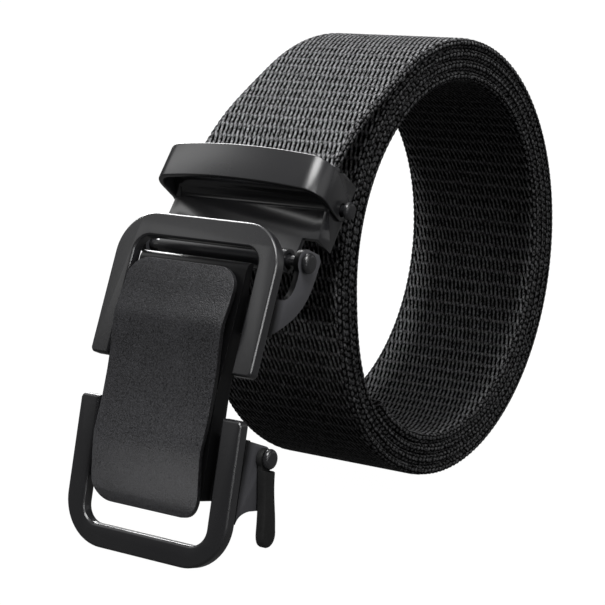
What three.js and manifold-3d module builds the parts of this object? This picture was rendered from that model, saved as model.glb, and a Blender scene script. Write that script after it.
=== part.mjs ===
// Ratchet belt: a webbing strap wound into a standing coil, its outer end clamped in a framed buckle.
// Millimetres. X runs along the coil's axis, -Y points from the coil to the buckle and +Z up.
// The origin lies on the surface that the coil stands on, straight below the coil's axis.

import * as THREE from 'three';
import * as BufferGeometryUtils from 'three/addons/utils/BufferGeometryUtils.js';
import Module from 'manifold-3d';

const wasm = await Module();
wasm.setup();

// Clearance between pieces that touch on the real belt
const clearance = 0.3;

// Webbing strap and its coil
const strapWidth = 38;
const strapThickness = 2.3;
const layerGap = 0.35;
const coilLayers = 4;
const coilRadius = 53.16;
const facetAngle = 5;
const tipAngle = 222.5;
const exitAngle = 117.5;
const climbAngle = 40;

// Bends of the strap between the coil and the clamp, in order, as shares of its length there and in degrees
const runOutLength = 41;
const runOut = [
  { share: 0.3902, turn: 3 },
  { share: 0.3415, turn: 13 },
  { share: 0.1463, turn: 9 },
  { share: 0.122, turn: 0 },
];
const bendStep = 2.3;

// Clamp plate, measured along the strap from the clamp's pin and out from the pin's centre
const sheet = 1.2;
const earHalfWidth = 20.8;
const earTop = 7.2;
const earBottom = 9.4;
const earDepth = 2.7;
const webFront = 3.3;
const lipReach = 6.9;
const strapEndAbovePin = 1.5;
const webShoulder = 2.6;
const tongueHalfWidth = 16.8;

// Keeper loop
const loopHalfWidth = 22.4;
const loopCrown = 14.6;
const loopBowRadius = 90;
const loopCornerRadius = 5.5;
const loopTop = 5.8;
const loopBottom = 2.5;
const loopArmTop = 3.2;
const loopEyeRadius = 2.8;

// Toothed jaw behind the strap's end
const jawHalfWidth = 18.6;
const jawHubRadius = 2;
const jawReach = 2.35;
const jawToothPitch = 1.2;
const jawToothDepth = 0.6;
const jawTeeth = 4;

// Pins
const clampPinRadius = 1.2;
const clampHeadRadius = 2.05;
const hingePinRadius = 1.4;
const hingeHeadRadius = 2.25;
const pawlPinRadius = 1.1;
const pawlHeadRadius = 2.2;
const headThickness = 1.3;
const knuckleWall = 0.9;

// Hinge pin, from the clamp's pin
const hingeBelowPin = 15.9;
const hingeBeforePin = 4.6;

// Frames: two U shapes whose legs face each other across a gap, the lower one bent towards the coil
const frameWidth = 43;
const frameThickness = 3;
const frameLeg = 5;
const upperLength = 32.3;
const upperBar = 5.3;
const upperCornerRadius = 9.5;
const upperWindowRadius = 3.6;
const lowerLength = 32;
const lowerBar = 4.9;
const lowerCornerRadius = 10.5;
const lowerWindowRadius = 4;
const legEndRadius = 1.2;
const frameChamfer = 0.4;
const frameGap = 9.1;
const frameBend = 9.6;
const hingeBelowTop = 5.1;
const hingeBehindFace = 10.6;

// Back channel: a top-hat section behind the frames
const channelHalfWidth = 14.3;
const channelTop = 8.3;
const channelTopRadius = 2;
const channelSheet = 1.3;
const channelEndAboveLegs = 17.6;
const armOuter = frameWidth / 2 - clearance;
const armInner = armOuter - channelSheet;
const armReach = 16;
const armTip = 3.4;
const armEyeRadius = 2.9;
const upperWingTop = 14.8;
const upperWingBottom = 23;
const lowerWingTop = 3.8;
const lowerWingBottom = 17.5;
const bracketWall = 2.9;
const bracketFlare = 3.8;

// Matte plate in front of the channel
const plateHalfWidth = 14.3;
const plateSheet = 1.2;
const plateTop = 10.6;
const plateLength = 52.7;
const plateLift = 3.9;
const plateCornerRadius = 5;

// Height of the matte plate's front above the frames' faces, both columns as shares of the sizes above
const plateWave = [
  { along: 0, lift: 0.67 },
  { along: 0.13, lift: 0.79 },
  { along: 0.24, lift: 1 },
  { along: 0.345, lift: 0.87 },
  { along: 0.4, lift: 0.62 },
  { along: 0.45, lift: 0.47 },
  { along: 0.525, lift: 0.4 },
  { along: 0.6, lift: 0.47 },
  { along: 0.67, lift: 0.62 },
  { along: 0.74, lift: 0.69 },
  { along: 0.82, lift: 0.62 },
  { along: 0.9, lift: 0.45 },
  { along: 0.95, lift: 0.33 },
  { along: 1, lift: 0.05 },
];
const plateSteps = 40;

// Pawl and release lever on the lower pin
const pawlBelowLegs = 7.3;
const pawlBehindFace = 9.3;
const pawlHalfWidth = 17;
const pawlHubRadius = 2.1;
const pawlLength = 9;
const pawlArmHalf = 1.6;
const pawlToothPitch = 1.6;
const pawlToothDepth = 0.9;
const leverLength = 18.6;
const leverThickness = 2.4;
const leverWidth = 4.4;
const leverSoftening = 0.6;
const leverNeck = 2;
const leverInner = armOuter + clearance;
const leverHubThickness = 1.2;

// The lever's finger, as three curves whose points are shares of its length and width
const leverTop = { front: -0.34, back: 0.523 };
const leverCurves = [
  [[0.376, -0.09], [0.591, 0.136], [0.839, 0.227]],
  [[0.968, 0.273], [1.022, 0.591], [1, 0.864]],
  [[0.973, 1.18], [0.903, 1.41], [0.785, 1.227]],
];
const leverReturn = [[0.538, 1], [0.43, 0.682]];

// Roundness of arcs, and how far a cutting shape runs past what it cuts
const arcSteps = 8;
const pinSides = 20;
const cutMargin = 1;

// Vector helpers
const degrees = THREE.MathUtils.degToRad;
const point = (x, y) => new THREE.Vector2(x, y);

// Materials
const webbing = new THREE.MeshStandardMaterial({ color: 0x141414, roughness: 0.85, metalness: 0 });
const blackMetal = new THREE.MeshStandardMaterial({ color: 0x242424, roughness: 0.3, metalness: 0.9 });
const mattePaint = new THREE.MeshStandardMaterial({ color: 0x2a2a2c, roughness: 0.7, metalness: 0.3 });
const coating = new THREE.MeshStandardMaterial({ color: 0x303030, roughness: 0.65, metalness: 0.1 });

// Turns a drawing's x and y into the side view's y and z, and its depth into x
const sideView = new THREE.Matrix4().makeBasis(
  new THREE.Vector3(0, 1, 0), new THREE.Vector3(0, 0, 1), new THREE.Vector3(1, 0, 0));

// A side-view outline (y, z) given its width across x, from x = low to x = high
function across(shape, low, high) {
  const geometry = new THREE.ExtrudeGeometry(shape, {
    depth: high - low, bevelEnabled: false, steps: 1, curveSegments: arcSteps });
  geometry.applyMatrix4(sideView);
  geometry.translate(low, 0, 0);
  return geometry;
}

// A geometry with its shared corners merged, as a solid for joining and cutting
function toSolid(geometry) {
  const bare = geometry.clone();
  bare.deleteAttribute('normal');
  bare.deleteAttribute('uv');
  const merged = BufferGeometryUtils.mergeVertices(bare, 1e-4);
  return new wasm.Manifold(new wasm.Mesh({
    numProp: 3, vertProperties: merged.attributes.position.array, triVerts: merged.index.array }));
}

function toGeometry(solid) {
  const mesh = solid.getMesh();
  const geometry = new THREE.BufferGeometry();
  geometry.setAttribute('position', new THREE.BufferAttribute(new Float32Array(mesh.vertProperties), 3));
  geometry.setIndex(new THREE.BufferAttribute(new Uint32Array(mesh.triVerts), 1));
  geometry.computeVertexNormals();
  return geometry;
}

function joined(geometries) {
  return geometries.map(toSolid).reduce((whole, piece) => whole.add(piece));
}

// A round bar along x with its centre at (y, z)
function roundBar(radius, low, high, y, z) {
  const geometry = new THREE.CylinderGeometry(radius, radius, high - low, pinSides);
  geometry.rotateZ(Math.PI / 2);
  geometry.translate((low + high) / 2, y, z);
  return geometry;
}

// A pin along x: a shaft between two domed heads, whose inner faces lie at x = left and x = right
function headedPin(shaftRadius, headRadius, left, right) {
  const edge = headThickness * 0.4;
  const profile = [
    point(0, left - headThickness),
    point(headRadius - edge, left - headThickness),
    point(headRadius, left - headThickness + edge),
    point(headRadius, left),
    point(shaftRadius, left),
    point(shaftRadius, right),
    point(headRadius, right),
    point(headRadius, right + headThickness - edge),
    point(headRadius - edge, right + headThickness),
    point(0, right + headThickness),
  ];
  const geometry = new THREE.LatheGeometry(profile, pinSides);
  geometry.rotateZ(-Math.PI / 2);
  return geometry;
}

function mesh(name, geometry, material) {
  const piece = new THREE.Mesh(geometry, material);
  piece.name = name;
  return piece;
}

// The coil's middle line: four round layers, each climbing to the next one just before the inner tip
const layerPitch = strapThickness + layerGap;
const coilHeight = coilRadius * Math.cos(degrees(facetAngle / 2));
const innerMiddle = coilRadius - strapThickness / 2 - (coilLayers - 1) * layerPitch;

function coilMiddle(turned) {
  const layer = Math.floor(turned / 360);
  const climb = THREE.MathUtils.smoothstep(turned - 360 * layer, 360 - climbAngle, 360);
  return innerMiddle + layerPitch * (layer + climb);
}

// Stations along the strap's middle line, from the inner tip to the clamp, each with its outward normal
function strapStations() {
  const stations = [];
  const wound = exitAngle - tipAngle + 360 * coilLayers;
  const facets = Math.round(wound / facetAngle);
  for (let i = 0; i <= facets; i += 1) {
    const turned = wound * i / facets;
    const angle = degrees(tipAngle + turned);
    const radius = coilMiddle(turned);
    const normal = point(Math.cos(angle), Math.sin(angle));
    stations.push({ y: radius * normal.x, z: coilHeight + radius * normal.y, normal });
  }
  let { y, z } = stations[stations.length - 1];
  let heading = exitAngle - 90;
  for (const bend of runOut) {
    const length = bend.share * runOutLength;
    const steps = Math.round(length / bendStep);
    for (let i = 0; i < steps; i += 1) {
      const middle = degrees(heading + bend.turn / steps / 2);
      heading += bend.turn / steps;
      y -= length / steps * Math.cos(middle);
      z -= length / steps * Math.sin(middle);
      stations.push({ y, z, normal: point(-Math.sin(degrees(heading)), Math.cos(degrees(heading))) });
    }
  }
  return stations;
}

function strapGeometry(stations) {
  const side = (offset) => stations.map(({ y, z, normal }) =>
    point(y + offset * normal.x, z + offset * normal.y));
  const outline = [...side(strapThickness / 2), ...side(-strapThickness / 2).reverse()];
  return across(new THREE.Shape(outline), -strapWidth / 2, strapWidth / 2);
}

const stations = strapStations();
const strapEnd = stations[stations.length - 1];
const clampHeading = exitAngle - 90 + runOut.reduce((sum, bend) => sum + bend.turn, 0);

// Clamp group: y runs up along the strap and z out from it, with the clamp's pin at the origin
const strapBack = jawReach + clearance;
const strapFront = strapBack + strapThickness;
const clampUp = point(Math.cos(degrees(clampHeading)), Math.sin(degrees(clampHeading)));
const clampOut = point(-clampUp.y, clampUp.x);
const pinBehind = strapBack + strapThickness / 2;
const clampPlace = point(strapEnd.y, strapEnd.z)
  .addScaledVector(clampUp, -strapEndAbovePin)
  .addScaledVector(clampOut, -pinBehind);

// Clamp plate: web, lip over the strap's end, two ears, and a tongue that ends in a knuckle
function clampPlateGeometry() {
  const lipInner = strapFront + clearance;
  const webBack = webFront - sheet;
  const bendTop = strapEndAbovePin - clearance;
  const web = new THREE.Shape();
  web.moveTo(lipReach, lipInner);
  web.lineTo(lipReach, lipInner + sheet);
  web.lineTo(bendTop, lipInner + sheet);
  web.bezierCurveTo(bendTop - webShoulder * 0.6, lipInner + sheet, bendTop - webShoulder * 0.6, webFront,
    -webShoulder, webFront);
  web.lineTo(-earBottom, webFront);
  web.lineTo(-earBottom, webBack);
  web.lineTo(-webShoulder - sheet / 2, webBack);
  web.bezierCurveTo(bendTop - webShoulder, webBack, bendTop - webShoulder * 0.7, lipInner, bendTop, lipInner);
  const ear = new THREE.Shape();
  ear.moveTo(-earBottom, -earDepth);
  ear.lineTo(earTop, -earDepth);
  ear.lineTo(earTop, webFront);
  ear.lineTo(lipReach - sheet, strapFront + sheet);
  ear.lineTo(bendTop, strapFront + sheet);
  ear.lineTo(-webShoulder, webFront);
  ear.lineTo(-earBottom, webFront);
  const tongue = new THREE.Shape();
  tongue.moveTo(-earBottom + sheet, webFront);
  tongue.lineTo(-hingeBelowPin + hingePinRadius, webFront);
  tongue.lineTo(-hingeBelowPin + hingePinRadius, webBack);
  tongue.lineTo(-earBottom + sheet, webBack);
  const knuckleRadius = hingePinRadius + clearance + knuckleWall;
  const plate = joined([
    across(web, -earHalfWidth, earHalfWidth),
    across(ear, -earHalfWidth, -earHalfWidth + sheet),
    across(ear, earHalfWidth - sheet, earHalfWidth),
    across(tongue, -tongueHalfWidth, tongueHalfWidth),
    roundBar(knuckleRadius, -tongueHalfWidth, tongueHalfWidth, -hingeBelowPin, hingeBeforePin),
  ]);
  const clampBore = roundBar(clampPinRadius + clearance, -frameWidth, frameWidth, 0, 0);
  const hingeBore = roundBar(hingePinRadius + clearance, -frameWidth, frameWidth,
    -hingeBelowPin, hingeBeforePin);
  return toGeometry(plate.subtract(toSolid(clampBore)).subtract(toSolid(hingeBore)));
}

// Keeper loop: its plan gives the bowed band with round ends, its side view the tapered arms and eyes
function keeperLoopGeometry() {
  const cornerX = loopHalfWidth - loopCornerRadius;
  const bowCentre = loopCrown - loopBowRadius;
  const cornerZ = bowCentre + Math.sqrt((loopBowRadius - loopCornerRadius) ** 2 - cornerX ** 2);
  const turn = Math.atan2(cornerZ - bowCentre, cornerX);
  const plan = new THREE.Shape();
  plan.moveTo(loopHalfWidth, -loopEyeRadius);
  plan.absarc(cornerX, cornerZ, loopCornerRadius, 0, turn, false);
  plan.absarc(0, bowCentre, loopBowRadius, turn, Math.PI - turn, false);
  plan.absarc(-cornerX, cornerZ, loopCornerRadius, Math.PI - turn, Math.PI, false);
  plan.lineTo(-loopHalfWidth, -loopEyeRadius);
  plan.lineTo(-loopHalfWidth + sheet, -loopEyeRadius);
  plan.absarc(-cornerX, cornerZ, loopCornerRadius - sheet, Math.PI, Math.PI - turn, true);
  plan.absarc(0, bowCentre, loopBowRadius - sheet, Math.PI - turn, turn, true);
  plan.absarc(cornerX, cornerZ, loopCornerRadius - sheet, turn, 0, true);
  plan.lineTo(loopHalfWidth - sheet, -loopEyeRadius);
  const band = new THREE.ExtrudeGeometry(plan, {
    depth: loopTop + loopBottom + loopEyeRadius, bevelEnabled: false, steps: 1, curveSegments: arcSteps });
  band.rotateX(Math.PI / 2);
  band.translate(0, loopTop, 0);
  const side = new THREE.Shape();
  side.moveTo(-loopBottom, loopCrown + sheet);
  side.lineTo(-loopBottom, 0);
  side.absarc(loopEyeRadius - loopBottom, 0, loopEyeRadius, Math.PI, 2 * Math.PI, false);
  side.lineTo(loopArmTop, 0);
  side.lineTo(loopTop * 0.86, loopCrown * 0.6);
  side.lineTo(loopTop, loopCrown * 0.85);
  side.lineTo(loopTop, loopCrown + sheet);
  const loop = toSolid(band).intersect(toSolid(across(side, -frameWidth, frameWidth)));
  const bore = roundBar(clampPinRadius + clearance, -frameWidth, frameWidth, 0, 0);
  return toGeometry(loop.subtract(toSolid(bore)));
}

// Jaw: a hub round the clamp's pin with a toothed nose against the strap's back
function clampJawGeometry() {
  const nose = new THREE.Shape();
  nose.moveTo(0, -jawHubRadius);
  nose.absarc(0, 0, jawHubRadius, 1.5 * Math.PI, 0.9 * Math.PI, true);
  nose.absarc(0, 0, jawHubRadius, 0.9 * Math.PI, 0.5 * Math.PI, true);
  for (let i = 0; i < jawTeeth; i += 1) {
    const start = strapEndAbovePin + i * jawToothPitch;
    nose.lineTo(start, jawReach - jawToothDepth);
    nose.lineTo(start + jawToothPitch / 2, jawReach);
  }
  nose.lineTo(strapEndAbovePin + jawTeeth * jawToothPitch, jawReach - jawToothDepth);
  nose.lineTo(strapEndAbovePin + jawTeeth * jawToothPitch, jawReach / 3);
  nose.lineTo(strapEndAbovePin + jawToothPitch, -jawHubRadius);
  const jaw = toSolid(across(nose, -jawHalfWidth, jawHalfWidth));
  const bore = roundBar(clampPinRadius + clearance, -frameWidth, frameWidth, 0, 0);
  return toGeometry(jaw.subtract(toSolid(bore)));
}

// Buckle group: y runs up along the upper frame and z out of its face, with the hinge pin at the origin
const upper = (down, behind) => point(hingeBelowTop - down, hingeBehindFace - behind);
const lowerTurn = degrees(frameBend);
const halfGap = frameGap / 2 / Math.cos(lowerTurn / 2);
const lowerStart = upper(upperLength, 0)
  .add(point(-Math.cos(lowerTurn / 2), -Math.sin(lowerTurn / 2)).multiplyScalar(frameGap));
const lower = (down, behind) => point(-down, -behind).rotateAround(point(0, 0), lowerTurn).add(lowerStart);

// Where the upper and lower planes meet, at a depth behind the faces
const bend = (behind) => upper(upperLength + halfGap - behind * Math.tan(lowerTurn / 2), behind);

// The buckle leans until the lower frame's rear bottom edge stands on the surface
const hingePlace = clampPlace.clone()
  .addScaledVector(clampUp, -hingeBelowPin)
  .addScaledVector(clampOut, hingeBeforePin);
const foot = lower(lowerLength, frameThickness - frameChamfer);
const buckleHeading = Math.atan2(foot.y, -foot.x) + Math.asin(Math.min(1, hingePlace.y / foot.length()));

// A U-shaped frame with its bar at y = 0 and its legs towards -y, its front face at z = 0
function frameGeometry(length, bar, cornerRadius, windowRadius) {
  const half = frameWidth / 2;
  const inner = half - frameLeg;
  const shape = new THREE.Shape();
  shape.moveTo(-half + cornerRadius, 0);
  shape.absarc(half - cornerRadius, -cornerRadius, cornerRadius, Math.PI / 2, 0, true);
  shape.absarc(half - legEndRadius, -length + legEndRadius, legEndRadius, 0, -Math.PI / 2, true);
  shape.lineTo(inner, -length);
  shape.absarc(inner - windowRadius, -bar - windowRadius, windowRadius, 0, Math.PI / 2, false);
  shape.absarc(-inner + windowRadius, -bar - windowRadius, windowRadius, Math.PI / 2, Math.PI, false);
  shape.lineTo(-inner, -length);
  shape.absarc(-half + legEndRadius, -length + legEndRadius, legEndRadius, -Math.PI / 2, -Math.PI, true);
  shape.absarc(-half + cornerRadius, -cornerRadius, cornerRadius, Math.PI, Math.PI / 2, true);
  const geometry = new THREE.ExtrudeGeometry(shape, {
    depth: frameThickness - 2 * frameChamfer,
    bevelThickness: frameChamfer,
    bevelSize: frameChamfer,
    bevelOffset: -frameChamfer,
    bevelSegments: 1,
    curveSegments: arcSteps });
  geometry.translate(0, 0, frameChamfer - frameThickness);
  return geometry;
}

// Back channel: hollow top-hat body with a rolled top, wings behind the legs, hooked arms and brackets
const channelFront = frameThickness + clearance;
const channelDepth = channelFront + channelSheet;
const pawlPlace = lower(pawlBelowLegs, pawlBehindFace);

function hatShape(inset, depth, end) {
  const radius = channelTopRadius - inset;
  const centre = upper(channelTop + channelTopRadius, channelTopRadius);
  const shape = new THREE.Shape();
  const start = upper(channelTop + inset, depth);
  shape.moveTo(start.x, start.y);
  shape.absarc(centre.x, centre.y, radius, 0, Math.PI / 2, false);
  for (const corner of [bend(inset), lower(end, inset), lower(end, depth), bend(depth)]) {
    shape.lineTo(corner.x, corner.y);
  }
  return shape;
}

function hookedArm() {
  const shape = new THREE.Shape();
  const from = (down, behind) => upper(down, behind).toArray();
  shape.moveTo(...from(upperWingBottom, channelFront));
  shape.bezierCurveTo(...from(upperWingBottom * 0.78, armReach * 0.69),
    ...from(upperWingTop, armReach * 0.91), ...from(upperWingTop * 0.5, armReach * 0.97));
  shape.lineTo(...from(armTip, armReach));
  shape.lineTo(...from(hingeBelowTop - armEyeRadius, armReach * 0.925));
  shape.lineTo(...from(hingeBelowTop - armEyeRadius, hingeBehindFace));
  shape.absarc(0, 0, armEyeRadius, 0, 0.8 * Math.PI, false);
  shape.bezierCurveTo(...from(upperWingTop * 0.845, hingeBehindFace * 0.88),
    ...from(upperWingTop, hingeBehindFace * 0.71), ...from(upperWingTop, channelFront));
  return shape;
}

function lowerBracket() {
  const shape = new THREE.Shape();
  const from = (down, behind) => lower(down, behind).toArray();
  const outer = pawlBehindFace + bracketWall;
  const foot = lowerWingBottom + bracketFlare;
  shape.moveTo(...from(lowerWingTop, channelFront));
  shape.lineTo(...from(pawlBelowLegs - bracketWall * 0.8, pawlBehindFace + bracketWall * 0.55));
  shape.quadraticCurveTo(...from(pawlBelowLegs - bracketWall * 0.7, outer), ...from(pawlBelowLegs, outer));
  shape.lineTo(...from(foot - bracketFlare * 0.74, pawlBehindFace + bracketWall * 0.62));
  shape.lineTo(...from(foot - bracketFlare * 0.71, pawlBehindFace * 0.83));
  shape.quadraticCurveTo(...from(foot - bracketFlare * 0.58, channelFront + bracketFlare * 0.16),
    ...from(foot, channelFront));
  return shape;
}

function bothSides(shape, inner, outer) {
  return [across(shape, inner, outer), across(shape, -outer, -inner)];
}

function backChannelGeometry() {
  const wall = channelHalfWidth - channelSheet;
  const body = toSolid(across(
    hatShape(0, channelDepth, channelEndAboveLegs), -channelHalfWidth, channelHalfWidth));
  const hollow = toSolid(across(hatShape(
    channelSheet, channelDepth + cutMargin, channelEndAboveLegs + cutMargin), -wall, wall));
  const upperWing = new THREE.Shape([
    upper(upperWingTop, channelFront), upper(upperWingTop, channelDepth),
    upper(upperWingBottom, channelDepth), upper(upperWingBottom, channelFront)]);
  const lowerWing = new THREE.Shape([
    lower(lowerWingTop, channelFront), lower(lowerWingTop, channelDepth),
    lower(lowerWingBottom, channelDepth), lower(lowerWingBottom, channelFront)]);
  const sides = joined([
    ...bothSides(upperWing, wall, armOuter),
    ...bothSides(lowerWing, wall, armOuter),
    ...bothSides(hookedArm(), armInner, armOuter),
    ...bothSides(lowerBracket(), armInner, armOuter),
  ]);
  const hingeBore = toSolid(roundBar(hingePinRadius + clearance, -frameWidth, frameWidth, 0, 0));
  const pawlBore = toSolid(
    roundBar(pawlPinRadius + clearance, -frameWidth, frameWidth, pawlPlace.x, pawlPlace.y));
  return toGeometry(body.subtract(hollow).add(sides).subtract(hingeBore).subtract(pawlBore));
}

// Matte plate: a wavy sheet along the two planes, cut to a rounded rectangle
function wavePlateGeometry() {
  const onPlanes = ({ along, lift }) => {
    const down = plateTop + along * plateLength;
    const front = -lift * plateLift;
    const meeting = upperLength + halfGap;
    return down < meeting ? upper(down, front) : lower(down - meeting - halfGap, front);
  };
  const curve = new THREE.SplineCurve(plateWave.map(onPlanes));
  const line = curve.getSpacedPoints(plateSteps);
  const top = line[0].clone();
  const bottom = line[plateSteps].clone();
  const headStart = line[0].clone().sub(line[1]).setLength(cutMargin);
  const tailEnd = line[plateSteps].clone().sub(line[plateSteps - 1]).setLength(cutMargin);
  const front = [top.clone().add(headStart), ...line.slice(1, -1), bottom.clone().add(tailEnd)];
  const back = front.map((place, i) => {
    const before = front[Math.max(0, i - 1)];
    const after = front[Math.min(plateSteps, i + 1)];
    const way = after.clone().sub(before).normalize();
    return place.clone().add(point(way.y, -way.x).multiplyScalar(-plateSheet));
  });
  const sheetSolid = toSolid(across(new THREE.Shape([...front, ...back.reverse()]),
    -plateHalfWidth - cutMargin, plateHalfWidth + cutMargin));
  const length = top.distanceTo(bottom);
  const round = plateCornerRadius;
  const half = plateHalfWidth;
  const outline = new THREE.Shape();
  outline.moveTo(-half + round, 0);
  outline.absarc(half - round, -round, round, Math.PI / 2, 0, true);
  outline.absarc(half - round, -length + round, round, 0, -Math.PI / 2, true);
  outline.absarc(-half + round, -length + round, round, -Math.PI / 2, -Math.PI, true);
  outline.absarc(-half + round, -round, round, Math.PI, Math.PI / 2, true);
  const cutter = new THREE.ExtrudeGeometry(outline, {
    depth: 4 * plateLift, bevelEnabled: false, steps: 1, curveSegments: arcSteps });
  cutter.translate(0, 0, -2 * plateLift);
  cutter.rotateX(Math.atan2(top.y - bottom.y, top.x - bottom.x));
  cutter.translate(0, top.x, top.y);
  return toGeometry(sheetSolid.intersect(toSolid(cutter)));
}

// Pawl: hub round the lower pin, its toothed edge resting behind the channel's lower wings
function pawlGeometry() {
  const from = (down, behind) => lower(pawlBelowLegs + down, behind).toArray();
  const tip = channelDepth + clearance;
  const shoulder = tip + pawlArmHalf * 0.88;
  const arm = new THREE.Shape();
  arm.moveTo(...from(pawlArmHalf * 0.3, pawlBehindFace + pawlArmHalf));
  arm.lineTo(...from(pawlLength * 0.6, pawlBehindFace - pawlArmHalf * 0.25));
  arm.lineTo(...from(pawlLength, shoulder));
  arm.lineTo(...from(pawlLength - pawlToothPitch * 0.5, tip));
  arm.lineTo(...from(pawlLength - pawlToothPitch, tip + pawlToothDepth));
  arm.lineTo(...from(pawlLength - pawlToothPitch * 1.5, tip));
  arm.lineTo(...from(pawlLength - pawlToothPitch * 2.1, shoulder));
  arm.lineTo(...from(pawlArmHalf * 0.3, pawlBehindFace - pawlArmHalf));
  const solid = joined([
    across(arm, -pawlHalfWidth, pawlHalfWidth),
    roundBar(pawlHubRadius, -pawlHalfWidth, pawlHalfWidth, pawlPlace.x, pawlPlace.y),
  ]);
  const bore = roundBar(pawlPinRadius + clearance, -frameWidth, frameWidth, pawlPlace.x, pawlPlace.y);
  return toGeometry(solid.subtract(toSolid(bore)));
}

// Release lever: a hub outside the right bracket and a rounded finger that hangs from it
function releaseLeverGeometry() {
  const from = (down, behind) => lower(pawlBelowLegs + down, pawlBehindFace + behind);
  const share = ([along, acrossIt]) => from(along * leverLength, acrossIt * leverWidth).toArray();
  const top = pawlHeadRadius + clearance;
  const finger = new THREE.Shape();
  finger.moveTo(...from(top, leverTop.front * leverWidth).toArray());
  for (const [first, second, last] of leverCurves) {
    finger.bezierCurveTo(...share(first), ...share(second), ...share(last));
  }
  finger.bezierCurveTo(...share(leverReturn[0]), ...share(leverReturn[1]),
    ...from(top, leverTop.back * leverWidth).toArray());
  const blade = new THREE.ExtrudeGeometry(finger, {
    depth: leverThickness - 2 * leverSoftening,
    bevelThickness: leverSoftening,
    bevelSize: leverSoftening,
    bevelOffset: -leverSoftening,
    bevelSegments: 2,
    curveSegments: arcSteps });
  blade.applyMatrix4(sideView);
  blade.translate(leverInner + leverSoftening, 0, 0);
  const hubOuter = leverInner + leverHubThickness;
  const hub = roundBar(pawlHubRadius, leverInner, hubOuter, pawlPlace.x, pawlPlace.y);
  const neck = across(new THREE.Shape([
    from(leverSoftening, -pawlHubRadius * 0.76), from(top + leverNeck, -leverSoftening),
    from(top + leverNeck, pawlHubRadius * 0.86), from(leverSoftening, pawlHubRadius * 0.76),
  ]), leverInner, hubOuter);
  const bore = roundBar(pawlPinRadius + clearance, -frameWidth, frameWidth, pawlPlace.x, pawlPlace.y);
  return toGeometry(joined([blade, hub, neck]).subtract(toSolid(bore)));
}

// Scene graph
const belt = new THREE.Group();
belt.add(mesh('strap', strapGeometry(stations), webbing));

const clamp = new THREE.Group();
clamp.position.set(0, clampPlace.x, clampPlace.y);
clamp.rotation.x = degrees(clampHeading);
clamp.add(
  mesh('clamp_plate', clampPlateGeometry(), blackMetal),
  mesh('keeper_loop', keeperLoopGeometry(), blackMetal),
  mesh('clamp_jaw', clampJawGeometry(), blackMetal),
  mesh('clamp_pin', headedPin(clampPinRadius, clampHeadRadius,
    -loopHalfWidth - clearance, loopHalfWidth + clearance), blackMetal));
belt.add(clamp);

const buckle = new THREE.Group();
buckle.position.set(0, hingePlace.x, hingePlace.y);
buckle.rotation.x = buckleHeading;
const upperFrame = mesh('upper_frame',
  frameGeometry(upperLength, upperBar, upperCornerRadius, upperWindowRadius), blackMetal);
upperFrame.position.set(0, hingeBelowTop, hingeBehindFace);
const lowerGroup = new THREE.Group();
lowerGroup.position.set(0, lowerStart.x, lowerStart.y);
lowerGroup.rotation.x = lowerTurn;
const lowerFrame = mesh('lower_frame',
  frameGeometry(lowerLength, lowerBar, lowerCornerRadius, lowerWindowRadius), blackMetal);
lowerFrame.position.y = -lowerLength;
lowerFrame.rotation.z = Math.PI;
lowerGroup.add(lowerFrame);
const pawlPin = mesh('pawl_pin', headedPin(pawlPinRadius, pawlHeadRadius,
  -armOuter - clearance, leverInner + leverHubThickness + clearance), blackMetal);
pawlPin.position.set(0, pawlPlace.x, pawlPlace.y);
buckle.add(
  upperFrame,
  lowerGroup,
  mesh('back_channel', backChannelGeometry(), blackMetal),
  mesh('wave_plate', wavePlateGeometry(), mattePaint),
  mesh('hinge_pin', headedPin(hingePinRadius, hingeHeadRadius,
    -armOuter - clearance, armOuter + clearance), blackMetal),
  pawlPin,
  mesh('pawl', pawlGeometry(), blackMetal),
  mesh('release_lever', releaseLeverGeometry(), coating));
belt.add(buckle);
belt.updateMatrixWorld(true);

export default belt;
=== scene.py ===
"""Dresses the ratchet belt: woven webbing, black metal buckle, matte plate and release lever."""

import math

import bpy
from mathutils import Matrix, Vector


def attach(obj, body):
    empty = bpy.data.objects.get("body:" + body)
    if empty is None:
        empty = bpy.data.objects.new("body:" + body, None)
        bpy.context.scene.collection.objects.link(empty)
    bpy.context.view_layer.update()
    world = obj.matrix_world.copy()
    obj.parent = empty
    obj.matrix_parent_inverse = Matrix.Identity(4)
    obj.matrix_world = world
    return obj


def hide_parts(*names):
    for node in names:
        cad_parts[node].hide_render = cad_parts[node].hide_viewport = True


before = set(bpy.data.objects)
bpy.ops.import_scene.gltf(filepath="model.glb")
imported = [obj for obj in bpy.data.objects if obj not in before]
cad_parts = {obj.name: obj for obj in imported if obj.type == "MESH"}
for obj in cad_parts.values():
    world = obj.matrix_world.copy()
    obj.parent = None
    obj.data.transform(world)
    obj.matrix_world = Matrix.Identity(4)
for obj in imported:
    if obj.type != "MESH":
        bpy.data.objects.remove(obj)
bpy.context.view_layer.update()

bl_info = {
    "name": "Ratchet Belt",
    "version": (1, 0, 0),
    "blender": (4, 5, 0),
    "location": "View3D > Sidebar > Belt",
    "description": "Makes the webbing, the buckle's metal pieces and the stage of a ratchet belt",
    "category": "Add Mesh",
}

MM = 0.001

# The strap's route, in millimetres and degrees, as the solid strap has it; the run-out's rows are
# lengths and turns
STRAP_WIDTH = 38.0
STRAP_THICKNESS = 2.3
LAYER_PITCH = 2.65
COIL_LAYERS = 4
FACET_ANGLE = 5.0
COIL_RADIUS = 53.16 * math.cos(math.radians(FACET_ANGLE / 2))
TIP_ANGLE = 222.5
EXIT_ANGLE = 117.5
CLIMB_ANGLE = 40.0
RUN_OUT = ((15.998, 3.0), (14.002, 13.0), (5.998, 9.0), (5.002, 0.0))

# Where the selvage starts on the weave's map, from the strap's middle, and how far round it goes
EDGE_START = STRAP_WIDTH / 2 - STRAP_THICKNESS / 2
EDGE_ARC = math.pi * STRAP_THICKNESS / 2


# Settings

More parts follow.
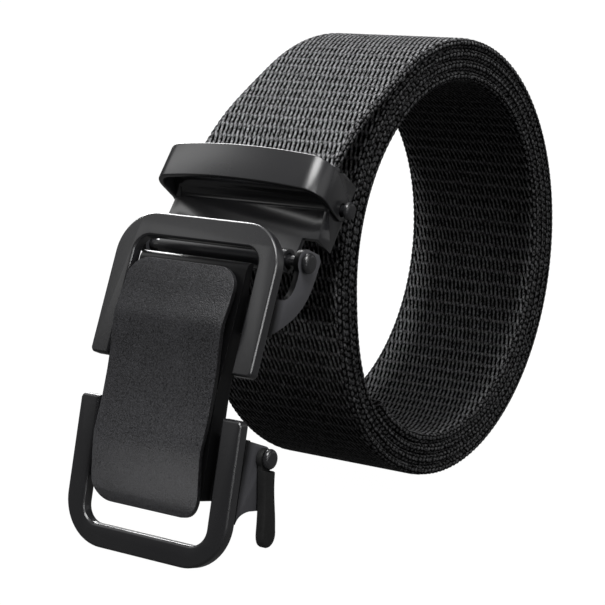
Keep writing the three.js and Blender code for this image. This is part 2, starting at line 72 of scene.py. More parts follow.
class WebbingSettings(bpy.types.PropertyGroup):
    row_pitch: bpy.props.FloatProperty(
        name="Row pitch", description="Distance along the strap from one row of stitches to the next like it",
        default=3.4 * MM, min=1 * MM, max=8 * MM, subtype="DISTANCE", unit="LENGTH", precision=5)
    yarn_pitch: bpy.props.FloatProperty(
        name="Yarn pitch", description="Distance between stitches across the strap",
        default=1.2 * MM, min=0.4 * MM, max=3 * MM, subtype="DISTANCE", unit="LENGTH", precision=5)
    relief: bpy.props.FloatProperty(
        name="Relief", description="Height of a stitch above the gaps beside it",
        default=0.34 * MM, min=0, max=0.6 * MM, subtype="DISTANCE", unit="LENGTH", precision=5)
    colour: bpy.props.FloatVectorProperty(
        name="Yarn colour", description="Colour of the yarn where it lies on top",
        default=(0.24, 0.24, 0.247), size=3, min=0, max=1, subtype="COLOR")


class MetalSettings(bpy.types.PropertyGroup):
    colour: bpy.props.FloatVectorProperty(
        name="Paint colour", description="Colour of the black paint",
        default=(0.012, 0.012, 0.013), size=3, min=0, max=1, subtype="COLOR")
    roughness: bpy.props.FloatProperty(
        name="Paint roughness", description="Roughness of the satin paint",
        default=0.22, min=0, max=1, subtype="FACTOR")
    edge: bpy.props.FloatProperty(
        name="Edge radius", description="Rounding of the metal's edges",
        default=0.25 * MM, min=0, max=1 * MM, subtype="DISTANCE", unit="LENGTH", precision=5)
    plate_colour: bpy.props.FloatVectorProperty(
        name="Plate colour", description="Colour of the matte plate",
        default=(0.022, 0.022, 0.024), size=3, min=0, max=1, subtype="COLOR")
    lever_colour: bpy.props.FloatVectorProperty(
        name="Lever colour", description="Colour of the release lever's coating",
        default=(0.03, 0.03, 0.03), size=3, min=0, max=1, subtype="COLOR")


class StageSettings(bpy.types.PropertyGroup):
    floor_colour: bpy.props.FloatVectorProperty(
        name="Floor colour", description="Colour of the pale floor",
        default=(0.08, 0.08, 0.08), size=3, min=0, max=1, subtype="COLOR")
    light: bpy.props.FloatProperty(
        name="Light", description="Strength of the studio lights as a whole",
        default=1.0, min=0, max=10)
    lens: bpy.props.FloatProperty(
        name="Lens", description="Focal length of the camera in millimetres",
        default=107.107, min=20, max=300)


# Shader values

class Value:
    """A socket that adds Math nodes when it is used in an expression."""

    def __init__(self, finish, socket):
        self.finish = finish
        self.socket = socket

    def math(self, operation, *values):
        return self.finish.node("ShaderNodeMath", {"operation": operation}, dict(enumerate(values)))

    def __add__(self, other):
        return self.math("ADD", self, other)

    def __sub__(self, other):
        return self.math("SUBTRACT", self, other)

    def __mul__(self, other):
        return self.math("MULTIPLY", self, other)

    def __truediv__(self, other):
        return self.math("DIVIDE", self, other)

    def __pow__(self, other):
        return self.math("POWER", self, other)

    def __mod__(self, other):
        return self.math("FLOORED_MODULO", self, other)

    def __radd__(self, other):
        return self.math("ADD", other, self)

    def __rsub__(self, other):
        return self.math("SUBTRACT", other, self)

    def __rmul__(self, other):
        return self.math("MULTIPLY", other, self)

    def size(self):
        return self.math("ABSOLUTE", self)

    def most(self, other):
        return self.math("MAXIMUM", self, other)


class Nodes:
    """The nodes of a material or of the world."""

    def __init__(self, block, shader):
        block.use_nodes = True
        self.tree = block.node_tree
        self.shader = self.tree.nodes[shader]

    def feed(self, socket, value):
        if isinstance(value, Value):
            self.tree.links.new(value.socket, socket)
        elif socket.type == "RGBA":
            socket.default_value = (*value[:3], 1)
        else:
            socket.default_value = value

    def node(self, kind, settings=(), values=(), output=0):
        node = self.tree.nodes.new(kind)
        for name, setting in dict(settings).items():
            setattr(node, name, setting)
        for name, value in dict(values).items():
            self.feed(node.inputs[name], value)
        return Value(self, node.outputs[output])

    def set(self, **values):
        for name, value in values.items():
            self.feed(self.shader.inputs[name.replace("_", " ")], value)


class Finish(Nodes):
    """One material, with the nodes that draw it."""

    def __init__(self, name):
        self.material = bpy.data.materials.new(name)
        super().__init__(self.material, "Principled BSDF")

    def ramp(self, value, stops):
        ramp = self.node("ShaderNodeValToRGB", {}, {"Fac": value})
        elements = ramp.socket.node.color_ramp.elements
        while len(elements) < len(stops):
            elements.new(0.5)
        for element, (place, shade) in zip(elements, stops):
            element.position = place
            element.color = (shade, shade, shade, 1)
        return ramp

    def blend(self, share, low, high):
        """A colour between two colours."""
        return self.node("ShaderNodeMix", {"data_type": "RGBA"}, {0: share, 6: low, 7: high}, 2)

    def place(self):
        return self.node("ShaderNodeTexCoord", output="Object")

    def noise(self, vector, scale, detail=3.0, roughness=0.5):
        return self.node("ShaderNodeTexNoise", {}, {
            "Vector": vector, "Scale": scale, "Detail": detail, "Roughness": roughness})

    def stretch(self, vector, scale):
        return self.node("ShaderNodeMapping", {}, {"Vector": vector, "Scale": scale})

    def bump(self, height, distance, strength=1.0):
        return self.node("ShaderNodeBump", {}, {
            "Height": height, "Distance": distance, "Strength": strength})

    def wear(self, piece):
        piece.data.materials.clear()
        piece.data.materials.append(self.material)


# The weave, in shares of the distance between two rows or two yarns
STITCH_HALF_WIDTH = 0.31
STITCH_LEAN = 0.6
KNOTS_PER_ROW = 2
KNOTS_ROUND_EDGE = 3
SEAM_DEPTH = 0.85
SEAM_NARROWNESS = 2.3

# Painted shade in the gaps between yarns
GAP_PAINTED_SHADE = (0.0004, 0.0004, 0.0004)


def larger(a, b):
    return a.most(b) if isinstance(a, Value) else max(a, b)


def rounded(offset, half):
    """1 in the middle of a yarn of that half width and 0 at its sides."""
    return larger(1 - (offset / half) ** 2, 0) ** 0.5


def stitch_height(rows, yarns):
    """Height of a woven face, from 0 in a gap to 1 on a stitch, at a count of rows and a count of yarns."""
    step = rows % 1.0 - 0.5
    side = (yarns - step * STITCH_LEAN) % 1.0 - 0.5
    gap = (1 - rounded(side, STITCH_HALF_WIDTH)) * (1 - (2 * step) ** 2)
    join = (rows + 0.5) % 1.0 - 0.5
    between = (yarns + 0.5 - join * STITCH_LEAN) % 1.0 - 0.5
    seam = (1 - rounded(between, 0.5)) * larger(1 - (SEAM_NARROWNESS * join) ** 2, 0) * SEAM_DEPTH
    return 1 - larger(gap, seam)


def knot_height(rows, columns):
    """Height of the selvage's knots, from 0 between them to 1 on one."""
    side = columns % 1.0 - 0.5
    step = (rows + (columns - side - 0.5) * 0.5) % 1.0 - 0.5
    return rounded(side, 0.5) * rounded(step, 0.5)


def weave_place(finish):
    """The two sides of the weave's own map, in millimetres, and the map itself."""
    place = finish.node("ShaderNodeUVMap", {"uv_map": "weave"})
    along = finish.node("ShaderNodeSeparateXYZ", {}, {0: place})
    return place, along, Value(finish, along.socket.node.outputs[1])


def yarn_look(finish, place, height, colour):
    """Colour, roughness and relief of yarn, with painted shade making its gaps near black, and fine
    filaments.
    """
    filaments = finish.noise(finish.stretch(place, (1.8, 4.0, 1)), 1.0, 3.0, 0.7)
    tone = finish.noise(finish.stretch(place, (1.1, 1.6, 1)), 1.0, 3.0)
    lit = finish.ramp(height + (filaments - 0.5) * 0.5, ((0.45, 0), (0.95, 1)))
    share = lit * (0.5 + (tone - 0.5) * 2.5 + (filaments - 0.5) * 3.5)
    # Base colour: the yarn's colour on the stitches' tops, painted shade down their sides and in the gaps
    finish.set(
        Base_Color=finish.blend(share, GAP_PAINTED_SHADE, [c * 1.7 for c in colour]),
        Roughness=finish.ramp(height, ((0.3, 1.0), (0.9, 0.5))) + (filaments - 0.5) * 0.3,
        Normal=finish.bump(height + (filaments - 0.5) * 0.7, 0.5 * MM, 1.0))
    finish.set(**{"Specular IOR Level": 0.08})


def webbing_finish(settings):
    """Woven face: leaning stitches row by row, with lens-shaped gaps between them darkened by painted shade.
    """
    finish = Finish("webbing_weave")
    place, along, across = weave_place(finish)
    wander = finish.noise(finish.stretch(place, (0.12, 0.5, 1)), 1.0, 2.0)
    sway = finish.noise(finish.stretch(place, (0.6, 0.25, 1)), 1.0, 2.0)
    height = stitch_height(along / (settings.row_pitch / MM) + (sway - 0.5) * 0.1,
                           across / (settings.yarn_pitch / MM) + (wander - 0.5) * 0.25)
    yarn_look(finish, place, height, settings.colour)
    return finish


def selvage_finish(settings):
    """Knotted edge of the webbing, rather darker than its faces."""
    finish = Finish("webbing_selvage")
    place, along, across = weave_place(finish)
    wander = finish.noise(finish.stretch(place, (0.5, 0.9, 1)), 1.0, 3.0)
    height = knot_height(along / (settings.row_pitch / MM) * KNOTS_PER_ROW + (wander - 0.5) * 1.1,
                         (across - EDGE_START) / EDGE_ARC * KNOTS_ROUND_EDGE + (wander - 0.5) * 1.1)
    yarn_look(finish, place, height, [c * 0.7 for c in settings.colour])
    return finish


def paint_finish(name, settings, roughness, shine=0.62, grain=0.02):
    """Satin black paint on metal, with a faint orange peel and a little unevenness."""
    finish = Finish(name)
    place = finish.place()
    peel = finish.noise(place, 900.0, 2.0)
    smudge = finish.noise(place, 60.0, 3.0)
    finish.set(
        Base_Color=finish.blend(smudge, settings.colour, [c * 1.5 for c in settings.colour]),
        Roughness=roughness + (smudge - 0.5) * 0.08,
        Normal=finish.bump(peel, grain * MM, 0.5))
    finish.set(**{"Specular IOR Level": shine})
    return finish


# The way that the buckle faces at rest, and how far out that way, in millimetres, the channel's walls go
# from painted shade, dark, to painted light, lighter
BUCKLE_FRONT = (0, -0.942, 0.335)
PAINTED_SHADE_FROM = 91.5
PAINTED_LIGHT_TO = 89


def channel_painted_light_and_shade_finish(settings):
    """The frames' paint on the channel: painted shade, near black, beside the plate, and painted light on the
    walls behind.
    """
    finish = paint_finish("channel_paint_painted_light_and_shade", settings, settings.roughness * 1.5, 0.22)
    across = finish.node("ShaderNodeSeparateXYZ", {}, {
        "Vector": finish.node("ShaderNodeTexCoord", output="Normal")})
    walls = finish.ramp(across.size(), ((0.35, 0), (0.8, 1)))
    forward = finish.node("ShaderNodeVectorMath", {"operation": "DOT_PRODUCT"},
                          {0: finish.place(), 1: BUCKLE_FRONT}, 1)
    share = walls * finish.node("ShaderNodeMapRange", {}, {
        "Value": forward, "From Min": PAINTED_SHADE_FROM * MM, "From Max": PAINTED_LIGHT_TO * MM})
    # Base colour: painted shade on the channel beside the plate, painted light on its side walls further back
    finish.set(Base_Color=finish.blend(share, [c * 0.25 for c in settings.colour],
                                       [c * 5 for c in settings.colour]))
    return finish


def matte_finish(settings):
    """Blasted matte paint: fine speckle in colour and height."""
    finish = Finish("matte_plate")
    place = finish.place()
    grain = finish.noise(place, 3200.0, 2.0, 0.7)
    cloud = finish.noise(place, 120.0, 3.0)
    speck = finish.ramp(grain * 0.85 + cloud * 0.15, ((0.35, 0), (0.65, 1)))
    finish.set(
        Base_Color=finish.blend(speck, [c * 0.25 for c in settings.plate_colour],
                                [c * 1.8 for c in settings.plate_colour]),
        Roughness=0.37 + (grain - 0.5) * 0.5,
        Normal=finish.bump(grain, 0.12 * MM, 1.0))
    finish.set(**{"Specular IOR Level": 0.4})
    return finish


def coating_finish(settings):
    """Soft coating of the lever: matte with a fine leathery grain."""
    finish = Finish("lever_coating")
    place = finish.place()
    pits = finish.node("ShaderNodeTexVoronoi", {}, {"Vector": place, "Scale": 1800.0})
    haze = finish.noise(place, 300.0, 3.0)
    finish.set(
        Base_Color=finish.blend(haze, [c * 0.6 for c in settings.lever_colour], settings.lever_colour),
        Roughness=0.5 + (haze - 0.5) * 0.2,
        Normal=finish.bump(pits, 0.05 * MM, 0.8))
    return finish


# Making pieces

def deselect():
    if bpy.context.mode != "OBJECT":
        bpy.ops.object.mode_set(mode="OBJECT")
    bpy.ops.object.select_all(action="DESELECT")


def pick(piece):
    deselect()
    piece.select_set(True)
    bpy.context.view_layer.objects.active = piece


def new_piece(name, mesh):
    piece = bpy.data.objects.new(name, mesh)
    bpy.context.scene.collection.objects.link(piece)
    return piece


def apply_modifiers(piece):
    pick(piece)
    for modifier in list(piece.modifiers):
        bpy.ops.object.modifier_apply(modifier=modifier.name)


# Loose triangles within these limits merge, and edges sharper than the last angle are rounded
MERGE_DISTANCE = 0.002 * MM
FLAT_ANGLE = math.radians(0.6)
SHARP_ANGLE = math.radians(35)


def rounded_copy(name, node, edge, segments=3, smooth=40.0, clamp=True):
    """A copy of a solid with its loose triangles merged into whole faces and its edges rounded."""
    piece = new_piece(name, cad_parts[node].data.copy())
    pick(piece)
    bpy.ops.object.mode_set(mode="EDIT")
    bpy.ops.mesh.select_all(action="SELECT")
    bpy.ops.mesh.remove_doubles(threshold=MERGE_DISTANCE)
    bpy.ops.mesh.dissolve_limited(angle_limit=FLAT_ANGLE)
    bpy.ops.object.mode_set(mode="OBJECT")
    bevel = piece.modifiers.new("edges", "BEVEL")
    bevel.width = edge
    bevel.segments = segments
    bevel.limit_method = "ANGLE"
    bevel.angle_limit = SHARP_ANGLE
    bevel.miter_outer = "MITER_ARC"
    bevel.use_clamp_overlap = clamp
    apply_modifiers(piece)
    pick(piece)
    bpy.ops.object.shade_smooth_by_angle(angle=math.radians(smooth))
    return piece


def of_slot(slot):
    """The collection of the pieces with one finish, which some of the studio's lights fall on alone."""
    return bpy.data.collections.get(slot) or bpy.data.collections.new(slot)


def stand_for(piece, node, body, slot, finish):
    of_slot(slot).objects.link(piece)
    finish.wear(piece)
    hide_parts(node)
    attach(piece, body)


# Webbing

# The strap's mesh: fine step along its middle line, places on a flat side and steps round an edge of its
# section, steps to a row and to a yarn of the woven faces, and how far their borders sink, in reliefs
FINE_STEP = 0.05
FLAT_PLACES = 3
ROUND_STEPS = 10
STEPS_PER_ROW = 7
STEPS_PER_YARN = 4
BORDER_SINK = 1.25


def strap_line(step):
    """Evenly spaced places on the strap's middle line, from the inner tip: (y, z, outward y, outward z)."""
    innermost = COIL_RADIUS - STRAP_THICKNESS / 2 - (COIL_LAYERS - 1) * LAYER_PITCH
    wound = EXIT_ANGLE - TIP_ANGLE + 360 * COIL_LAYERS
    points = []
    turned = 0.0
    while turned < wound:
        part = (turned % 360 - (360 - CLIMB_ANGLE)) / CLIMB_ANGLE
        part = min(1.0, max(0.0, part))
        climb = part * part * (3 - 2 * part)
        radius = innermost + LAYER_PITCH * (turned // 360 + climb)
        angle = math.radians(TIP_ANGLE + turned)
        points.append((radius * math.cos(angle), COIL_RADIUS + radius * math.sin(angle),
                       math.cos(angle), math.sin(angle)))
        turned += math.degrees(FINE_STEP / radius)
    angle = math.radians(EXIT_ANGLE)
    y, z = radius * math.cos(angle), COIL_RADIUS + radius * math.sin(angle)
    heading = EXIT_ANGLE - 90
    for length, turn in RUN_OUT:
        count = round(length / FINE_STEP)
        for i in range(count):
            heading += turn / count
            way = math.radians(heading)
            y -= length / count * math.cos(way)
            z -= length / count * math.sin(way)
            points.append((y, z, -math.sin(way), math.cos(way)))
    line = [points[0]]
    gone = 0.0
    for before, after in zip(points, points[1:]):
        gone += math.hypot(after[0] - before[0], after[1] - before[1])
        if gone >= step * len(line):
            line.append(after)
    return line


def strap_section():
    """Places round the strap's section: across, height, its outward way, and share of a knot's height."""
    half = STRAP_THICKNESS / 2
    flat = EDGE_START
    places = []
    for i in range(FLAT_PLACES):
        places.append((-flat + 2 * flat * i / (FLAT_PLACES - 1), half, 0.0, 1.0, 0.0))
    for i in range(1, ROUND_STEPS):
        angle = math.pi / 2 - math.pi * i / ROUND_STEPS
        places.append((flat + half * math.cos(angle), half * math.sin(angle),
                       math.cos(angle), math.sin(angle), min(1.0, 2 * math.cos(angle))))
    for i in range(FLAT_PLACES):
        places.append((flat - 2 * flat * i / (FLAT_PLACES - 1), -half, 0.0, -1.0, 0.0))
    for i in range(1, ROUND_STEPS):
        angle = -math.pi / 2 - math.pi * i / ROUND_STEPS
        places.append((-flat + half * math.cos(angle), half * math.sin(angle),
                       math.cos(angle), math.sin(angle), min(1.0, -2 * math.cos(angle))))
    return places


def woven_mesh(name, verts, faces, uvs):
    mesh = bpy.data.meshes.new(name)
    mesh.from_pydata(verts, [], faces)
    weave = mesh.uv_layers.new(name="weave")
    weave.uv.foreach_set("vector", [c for uv in uvs for c in uv])
    mesh.update()
    return mesh


# Lengths of woven face that show, in millimetres: on the outside and behind the run-out from the strap's
# end, and inside the coil from its tip; between turns the strap is thick enough to lie close on the next
OUTER_FACE = 382
BACK_FACE = 50
INNER_FACE = 300
CLOSENESS = 0.16


def strap_mesh(settings, line, step):
    """The strap's body: bare faces under the woven ones, close faces between turns, and knotted edges."""
    relief = settings.relief / MM
    rows = settings.row_pitch / MM / KNOTS_PER_ROW
    section = strap_section()
    around = [-EDGE_START]
    for a, b in zip(section, section[1:] + section[:1]):
        around.append(around[-1] + math.hypot(b[0] - a[0], b[1] - a[1]))
    verts = []
    for i, (y, z, out_y, out_z) in enumerate(line):
        gone = i * step
        left = (len(line) - 1 - i) * step
        for (across, height, side, up, edge), place in zip(section, around):
            knot = knot_height(gone / rows, (place - EDGE_START) / EDGE_ARC * KNOTS_ROUND_EDGE)
            shows = left < OUTER_FACE if height > 0 else gone < INNER_FACE or left < BACK_FACE
            sink = relief * (1 - edge * knot) if shows else relief * edge * (1 - knot) - CLOSENESS * abs(up)
            x = across - side * sink
            h = height - up * sink
            verts.append((x * MM, (y + out_y * h) * MM, (z + out_z * h) * MM))
    count = len(section)
    faces, uvs = [], []
    for i in range(len(line) - 1):
        for k in range(count):
            after = (k + 1) % count
            faces.append((i * count + k, i * count + after, (i + 1) * count + after, (i + 1) * count + k))
            near, far = around[k], around[k + 1]
            uvs += [(i * step, near), (i * step, far), ((i + 1) * step, far), ((i + 1) * step, near)]
    last = (len(line) - 1) * count
    faces.append(tuple(reversed(range(count))))
    faces.append(tuple(last + k for k in range(count)))
    for i, ends in ((0, reversed(range(count))), (len(line) - 1, range(count))):
        uvs += [(i * step, around[k]) for k in ends]
    return woven_mesh("webbing_strap", verts, faces, uvs)


def face_mesh(name, settings, line, step, first, last, outer):
    """One face of the strap from station first to last, with every stitch standing up from it."""
    half = STRAP_THICKNESS / 2
    relief = settings.relief / MM
    flat = EDGE_START
    count = round(2 * flat / (settings.yarn_pitch / MM / STEPS_PER_YARN))
    sign = 1 if outer else -1
    verts, places = [], []
    for i in range(first, last + 1):
        y, z, out_y, out_z = line[i]
        for k in range(count + 1):
            x = -flat + 2 * flat * k / count
            across = x if outer else flat + EDGE_ARC + flat - x
            height = stitch_height(i * step / (settings.row_pitch / MM), across / (settings.yarn_pitch / MM))
            border = k in (0, count) or i in (first, last)
            h = sign * (half - relief * (BORDER_SINK if border else 1 - height))
            verts.append((x * MM, (y + out_y * h) * MM, (z + out_z * h) * MM))
            places.append((i * step, across))
    faces = []
    for i in range(last - first):
        for k in range(count):
            a = i * (count + 1) + k
            b = a + count + 1
            faces.append((a, a + 1, b + 1, b) if outer else (a, b, b + 1, a + 1))
    uvs = [places[v] for face in faces for v in face]
    return woven_mesh(name, verts, faces, uvs)


class BELT_OT_webbing(bpy.types.Operator):
    """Makes the woven strap, wound into its coil"""
    bl_idname = "belt.webbing"
    bl_label = "Webbing"

    def execute(self, context):
        settings = context.scene.belt_webbing
        step = settings.row_pitch / MM / STEPS_PER_ROW
        line = strap_line(step)
        piece = new_piece("webbing_strap", strap_mesh(settings, line, step))
        pick(piece)
        bpy.ops.object.mode_set(mode="EDIT")
        bpy.ops.mesh.select_all(action="SELECT")
        bpy.ops.mesh.normals_make_consistent(inside=False)
        bpy.ops.object.mode_set(mode="OBJECT")
        bpy.ops.object.shade_smooth_by_angle(angle=math.radians(75))
        stand_for(piece, "strap", "belt", "webbing", selvage_finish(settings))
        finish = webbing_finish(settings)
        end = len(line) - 1
        spans = (
            ("webbing_outer_face", end - round(OUTER_FACE / step), end, True),
            ("webbing_inner_face", 0, round(INNER_FACE / step), False),
            ("webbing_back_face", end - round(BACK_FACE / step), end, False),
        )
        for name, first, last, outer in spans:
            face = new_piece(name, face_mesh(name, settings, line, step, first, last, outer))
            pick(face)
            bpy.ops.object.shade_smooth()
            of_slot("webbing").objects.link(face)
            finish.wear(face)
            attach(face, "belt")
        return {"FINISHED"}


# Metal

def domed_pin(node, settings):
    """A pin whose heads are rounded like rivets."""
    return rounded_copy(node + "_dressed", node, settings.edge * 2.4, 5, 50)


class BELT_OT_clamp(bpy.types.Operator):
    """Makes the clamp plate, the toothed jaw and the clamp's pin"""
    bl_idname = "belt.clamp"
    bl_label = "Clamp"

    def execute(self, context):
        settings = context.scene.belt_metal
        gloss = paint_finish("clamp_paint", settings, settings.roughness, 0.55)
        for node in ("clamp_plate", "clamp_jaw"):
            piece = rounded_copy(node + "_dressed", node, settings.edge)
            stand_for(piece, node, "belt", "black_metal", gloss)
        stand_for(domed_pin("clamp_pin", settings), "clamp_pin", "belt", "black_metal", gloss)
        return {"FINISHED"}


class BELT_OT_keeper(bpy.types.Operator):
    """Makes the keeper loop"""
    bl_idname = "belt.keeper"
    bl_label = "Keeper loop"

    def execute(self, context):
        settings = context.scene.belt_metal
        gloss = paint_finish("keeper_paint", settings, settings.roughness * 1.3)
        piece = rounded_copy("keeper_loop_dressed", "keeper_loop", settings.edge, 4, clamp=False)
        stand_for(piece, "keeper_loop", "belt", "black_metal", gloss)
        return {"FINISHED"}


class BELT_OT_frames(bpy.types.Operator):
    """Makes the upper and the lower frame"""
    bl_idname = "belt.frames"
    bl_label = "Frames"

    def execute(self, context):
        settings = context.scene.belt_metal
        satin = paint_finish("frame_paint", settings, settings.roughness * 1.2)
        for node in ("upper_frame", "lower_frame"):
            piece = rounded_copy(node + "_dressed", node, settings.edge * 0.5, 3, 25, False)
            stand_for(piece, node, "buckle", "black_metal", satin)
        return {"FINISHED"}


class BELT_OT_channel(bpy.types.Operator):
    """Makes the channel behind the frames, with its arms, and the hinge's and the pawl's pins"""
    bl_idname = "belt.channel"
    bl_label = "Back channel and pins"

    def execute(self, context):
        settings = context.scene.belt_metal
        dull = channel_painted_light_and_shade_finish(settings)
        piece = rounded_copy("back_channel_dressed", "back_channel", settings.edge)
        stand_for(piece, "back_channel", "buckle", "black_metal", dull)
        gloss = paint_finish("pin_paint", settings, settings.roughness)
        for node in ("hinge_pin", "pawl_pin"):
            stand_for(domed_pin(node, settings), node, "buckle", "black_metal", gloss)
        return {"FINISHED"}


# Elevation in degrees that the plate's front faces at a height in millimetres, from its upper bend down
PLATE_FACING = (
    (50.9, 33), (49.7, 13), (45, 9), (40, 13), (35, 17.5), (30, 21.5), (25.8, 23), (24.5, 8), (20, 5),
    (16, 4), (13, 0),
)
PROFILE_STEP = 0.1

# Below this height the plate's lower edge goes back as a whole
BENDS_END = 13.3


def at_height(rows, height):
    """The value at a height, straight between the rows of heights and values, which run downward."""
    if height >= rows[0][0]:
        return rows[0][1]
    for (high, above), (low, below) in zip(rows, rows[1:]):
        if height >= low:
            return above + (below - above) * (high - height) / (high - low)
    return rows[-1][1]


def solid_front(node):
    """The front of a solid in side view, from its top down: heights and places along y, in millimetres."""
    widest = {}
    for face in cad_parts[node].data.polygons:
        if abs(face.normal.x) < 0.05 and face.normal.y < -0.3:
            height = round(face.center.z / MM, 1)
            if face.area > widest.get(height, (0, 0))[0]:
                widest[height] = (face.area, face.center.y / MM)
    return [(height, widest[height][1]) for height in sorted(widest, reverse=True)]


def crisp_bends(front):
    """How far back the plate's crisp bends lie from the solid's rounder ones: heights and depths."""
    height = PLATE_FACING[0][0]
    place = at_height(front, height)
    depths = [(height, 0.0)]
    while height > BENDS_END:
        facing = at_height(PLATE_FACING, height - PROFILE_STEP / 2)
        place -= math.tan(math.radians(facing)) * PROFILE_STEP
        height -= PROFILE_STEP
        depths.append((height, place - at_height(front, height)))
    return depths


class BELT_OT_plate(bpy.types.Operator):
    """Makes the matte wavy plate"""
    bl_idname = "belt.plate"
    bl_label = "Wavy plate"

    def execute(self, context):
        settings = context.scene.belt_metal
        piece = rounded_copy("wave_plate_dressed", "wave_plate", settings.edge * 0.7)
        depths = crisp_bends(solid_front("wave_plate"))
        for vert in piece.data.vertices:
            vert.co.y += at_height(depths, vert.co.z / MM) * MM
        stand_for(piece, "wave_plate", "buckle", "matte_metal", matte_finish(settings))
        return {"FINISHED"}


class BELT_OT_release(bpy.types.Operator):
    """Makes the pawl and the coated release lever"""
    bl_idname = "belt.release"
    bl_label = "Pawl and lever"

    def execute(self, context):
        settings = context.scene.belt_metal
        gloss = paint_finish("pawl_paint", settings, settings.roughness)
        pawl = rounded_copy("pawl_dressed", "pawl", settings.edge * 0.8)
        stand_for(pawl, "pawl", "release", "black_metal", gloss)
        lever = rounded_copy("release_lever_dressed", "release_lever", settings.edge * 0.6)
        stand_for(lever, "release_lever", "release", "lever_coating", coating_finish(settings))
        return {"FINISHED"}


# Stage

# What the panels face
CENTRE = Vector((0, -0.03, 0.05))

FLOOR_SIZE = 40
FLOOR_MIRRORED = 0.12

# The camera, fitted to the photograph: angles in radians, place and sensor in millimetres
CAMERA_AZIMUTH = 0.5992333
CAMERA_DOWN = 0.1900897
CAMERA_ROLL = 0.0110881
CAMERA_PLACE = Vector((231.569, -376.615, 124.850))
SENSOR_WIDTH = 36


def towards(azimuth, elevation):
    """The direction of an azimuth, 0 in front of the belt and 90 on its right, and an elevation."""
    a, e = math.radians(azimuth), math.radians(elevation)
    return Vector((math.sin(a) * math.cos(e), -math.cos(a) * math.cos(e), math.sin(e)))


def softbox(slot, name, azimuth, elevation, distance, width, height, radiance):
    """A lit panel that faces the belt, flagged off from all pieces but those of one finish."""
    way = towards(azimuth, elevation)
    light = bpy.data.lights.new(name, "AREA")
    light.shape = "RECTANGLE"
    light.size = width
    light.size_y = height
    light.energy = radiance * math.pi * width * height
    lamp = new_piece(name, light)
    turn = way.to_track_quat("Z", "Y").to_matrix().to_4x4()
    lamp.matrix_world = Matrix.Translation(CENTRE + way * distance) @ turn
    lamp.visible_camera = False
    lamp.light_linking.receiver_collection = of_slot(slot)


# The studio's panels: finish that they light, name, azimuth, elevation, distance, width, height and
# brightness
PANELS = (
    ("webbing", "webbing_key", -2, 54, 1.0, 0.2, 0.75, 27),
    ("webbing", "webbing_side", 84, 22, 1.0, 0.4, 0.4, 3),
    ("webbing", "webbing_rear", 170, 30, 1.0, 0.4, 0.4, 3),
    ("black_metal", "streak", 45, 62, 1.0, 0.44, 0.5, 15),
    ("black_metal", "left_core", -80, 38, 1.0, 0.3, 0.4, 1.1),
    ("black_metal", "left_middle", -78, 39, 1.0, 0.5, 0.55, 0.6),
    ("black_metal", "left_wide", -76, 40, 1.0, 0.7, 0.7, 0.2),
    ("black_metal", "left_low", -38, 25, 1.0, 0.28, 0.24, 1.3),
    ("black_metal", "right_strip", 60, 21, 1.0, 0.25, 0.4, 9),
    ("black_metal", "right_fill", 100, 20, 1.0, 0.6, 0.6, 0.8),
    ("black_metal", "right_low", 60, -4, 0.3, 0.12, 0.04, 2.5),
    ("black_metal", "rear_left", -136, 32, 1.0, 0.45, 0.7, 18),
    ("black_metal", "rear_right", 146, 10, 1.0, 0.5, 0.4, 0.4),
    ("matte_metal", "plate_key", 8, 66, 1.0, 0.4, 0.4, 22),
    ("matte_metal", "plate_low", 0, -21.8, 0.108, 0.1, 0.02, 2.3),
    ("matte_metal", "plate_rim", -120, 40, 1.0, 0.3, 0.4, 8),
    ("lever_coating", "lever_key", 30, 50, 1.0, 0.4, 0.4, 12),
)

# Soft glows of the studio's air: azimuth, elevation, bright half angle, dark half angle, brightness
GLOWS = (
    (180, 76, 6, 30, 1.2),
    (-60, 34, 4, 40, 0.35),
)


def studio_air(power):
    """Dim air with soft glows, and a white backdrop wherever the camera looks past the floor."""
    world = bpy.data.worlds.new("studio_air")
    air = Nodes(world, "Background")
    way = air.node("ShaderNodeTexCoord", output=0)
    seen = air.node("ShaderNodeLightPath", output=0)
    mirrored = Value(air, seen.socket.node.outputs["Is Glossy Ray"])
    glow = (0.1 - mirrored * 0.06) * power
    for azimuth, elevation, inner, outer, brightness in GLOWS:
        facing = air.node("ShaderNodeVectorMath", {"operation": "DOT_PRODUCT"},
                          {0: way, 1: towards(azimuth, elevation)}, 1)
        glow = glow + air.node("ShaderNodeMapRange", {"interpolation_type": "SMOOTHSTEP"}, {
            "Value": facing,
            "From Min": math.cos(math.radians(outer)), "From Max": math.cos(math.radians(inner)),
            "To Min": 0.0, "To Max": brightness * power})
    air.set(Strength=air.node("ShaderNodeMix", {}, {0: seen, 2: glow, 3: 1.0}))
    air.set(Color=(1, 1, 1))
    return world


def studio_floor(settings):
    """A floor that is white to the camera and faint in what the belt mirrors."""
    bpy.ops.mesh.primitive_plane_add(size=FLOOR_SIZE)
    floor = bpy.context.object
    floor.name = "studio_floor"
    cover = Finish("floor_cover")
    seen = cover.node("ShaderNodeLightPath", output=0)
    mirrored = Value(cover, seen.socket.node.outputs["Is Glossy Ray"])
    cover.set(Base_Color=settings.floor_colour, Roughness=0.9, Emission_Color=(1, 1, 1),
              Emission_Strength=seen + mirrored * FLOOR_MIRRORED)
    cover.set(**{"Specular IOR Level": 0.0})
    cover.wear(floor)


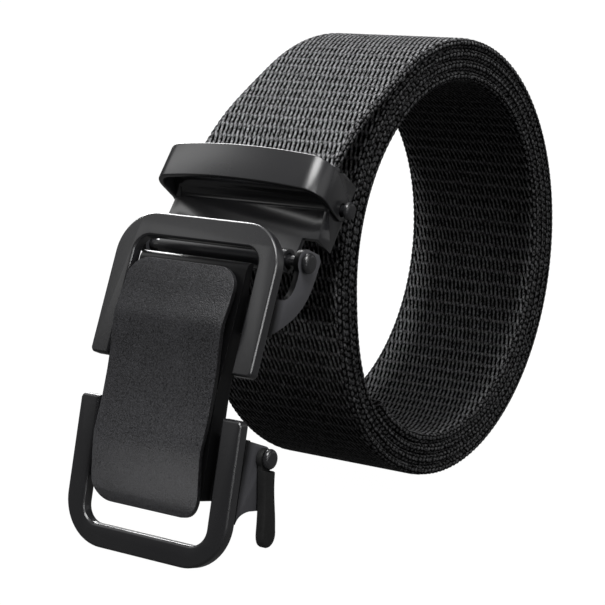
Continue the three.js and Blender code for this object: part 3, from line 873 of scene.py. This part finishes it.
def photo_camera(lens):
    """The camera, where and as it was when the photograph was taken."""
    camera = bpy.data.cameras.new("photo_camera")
    camera.sensor_width = SENSOR_WIDTH
    camera.lens = lens
    view = new_piece("photo_camera", camera)
    aside, onward = math.sin(CAMERA_AZIMUTH), math.cos(CAMERA_AZIMUTH)
    flat = math.cos(CAMERA_DOWN)
    ahead = Vector((-aside * flat, onward * flat, -math.sin(CAMERA_DOWN)))
    level = Vector((onward, aside, 0))
    up = level.cross(ahead)
    right = math.cos(CAMERA_ROLL) * level + math.sin(CAMERA_ROLL) * up
    top = -math.sin(CAMERA_ROLL) * level + math.cos(CAMERA_ROLL) * up
    turn = Matrix((right, top, -ahead)).transposed().to_4x4()
    view.matrix_world = Matrix.Translation(CAMERA_PLACE * MM) @ turn
    return view


class BELT_OT_stage(bpy.types.Operator):
    """Makes the floor, the studio lights and the camera"""
    bl_idname = "belt.stage"
    bl_label = "Stage"

    def execute(self, context):
        settings = context.scene.belt_stage
        deselect()
        studio_floor(settings)
        for panel in PANELS:
            softbox(*panel[:-1], panel[-1] * settings.light)
        context.scene.world = studio_air(settings.light)
        context.scene.camera = photo_camera(settings.lens)
        context.scene.view_settings.view_transform = "Standard"
        return {"FINISHED"}


# Panel

STEPS = ("webbing", "clamp", "keeper", "frames", "channel", "plate", "release", "stage")


class BELT_PT_panel(bpy.types.Panel):
    """Lists the belt's pieces"""
    bl_idname = "BELT_PT_panel"
    bl_label = "Ratchet belt"
    bl_space_type = "VIEW_3D"
    bl_region_type = "UI"
    bl_category = "Belt"

    def draw(self, context):
        for settings in (context.scene.belt_webbing, context.scene.belt_metal, context.scene.belt_stage):
            for name in settings.__annotations__:
                self.layout.prop(settings, name)
        for step in STEPS:
            self.layout.operator("belt." + step)


CLASSES = (
    WebbingSettings, MetalSettings, StageSettings,
    BELT_OT_webbing, BELT_OT_clamp, BELT_OT_keeper, BELT_OT_frames, BELT_OT_channel, BELT_OT_plate,
    BELT_OT_release, BELT_OT_stage, BELT_PT_panel,
)


def register():
    for kind in CLASSES:
        bpy.utils.register_class(kind)
    bpy.types.Scene.belt_webbing = bpy.props.PointerProperty(type=WebbingSettings)
    bpy.types.Scene.belt_metal = bpy.props.PointerProperty(type=MetalSettings)
    bpy.types.Scene.belt_stage = bpy.props.PointerProperty(type=StageSettings)


def unregister():
    del bpy.types.Scene.belt_stage
    del bpy.types.Scene.belt_metal
    del bpy.types.Scene.belt_webbing
    for kind in reversed(CLASSES):
        bpy.utils.unregister_class(kind)


def main():
    register()
    bpy.ops.belt.webbing()
    bpy.ops.belt.clamp()
    bpy.ops.belt.keeper()
    bpy.ops.belt.frames()
    bpy.ops.belt.channel()
    bpy.ops.belt.plate()
    bpy.ops.belt.release()
    bpy.ops.belt.stage()


if __name__ == "__main__":
    main()
